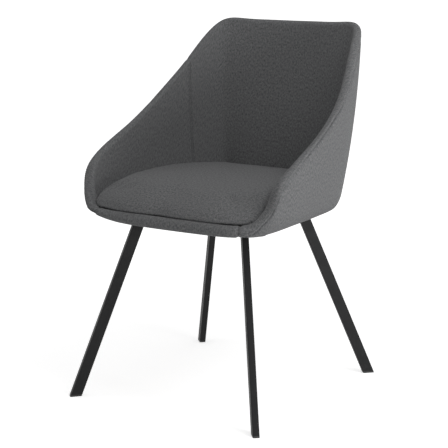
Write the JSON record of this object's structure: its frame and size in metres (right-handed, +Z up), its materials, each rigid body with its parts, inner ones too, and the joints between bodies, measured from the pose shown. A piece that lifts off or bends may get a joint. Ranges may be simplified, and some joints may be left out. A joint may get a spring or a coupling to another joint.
{
  "type": "dining chair",
  "caption": "Upholstered dining chair: a padded bucket shell that rises from low arms to a high back, with a thick seat pad, on a splayed frame of rectangular black steel tube.",
  "frame": {"origin": "on the floor, under the middle of the chair's outline", "axes": "+Z up, the chair faces -Y, +X to the left hand of a person sitting in it"},
  "size_m": [0.525, 0.588, 0.835],
  "materials": {
    "black_powder_coat": "matt black powder coat with a fine texture",
    "plug_plastic": "moulded black plastic",
    "zinc_steel": "bright zinc plate",
    "plywood": "raw birch plywood",
    "foam": "open-cell upholstery foam",
    "charcoal_fabric": "charcoal flat-woven cloth of mixed grey yarn with a soft nap",
    "dust_cloth": "black non-woven cloth"
  },
  "bodies": {
    "root": {"leg_front_left": "black_powder_coat", "leg_front_right": "black_powder_coat", "leg_rear_left": "black_powder_coat", "leg_rear_right": "black_powder_coat", "frame_arm_front_left": "black_powder_coat", "frame_arm_front_right": "black_powder_coat", "frame_arm_rear_left": "black_powder_coat", "frame_arm_rear_right": "black_powder_coat", "mounting_tab_front_left": "black_powder_coat", "mounting_tab_front_right": "black_powder_coat", "mounting_tab_rear_left": "black_powder_coat", "mounting_tab_rear_right": "black_powder_coat", "hub_plate": "black_powder_coat", "foot_plug_front_left": "plug_plastic", "foot_plug_front_right": "plug_plastic", "foot_plug_rear_left": "plug_plastic", "foot_plug_rear_right": "plug_plastic", "base_bolts": "zinc_steel", "base_washers": "zinc_steel", "tee_nuts": "zinc_steel", "shell_screws": "zinc_steel", "pad_screws": "zinc_steel", "hem_staples": "zinc_steel", "seat_base_board": "plywood", "front_rail": "plywood", "pad_board": "plywood", "moulded_shell": "plywood", "shell_foam": "foam", "front_band_foam": "foam", "pad_foam": "foam", "outside_cover": "charcoal_fabric", "inside_back_cover": "charcoal_fabric", "wing_cover_left": "charcoal_fabric", "wing_cover_right": "charcoal_fabric", "front_band_cover": "charcoal_fabric", "pad_cover": "charcoal_fabric", "dust_cover": "dust_cloth"}
  },
  "joints": []
}
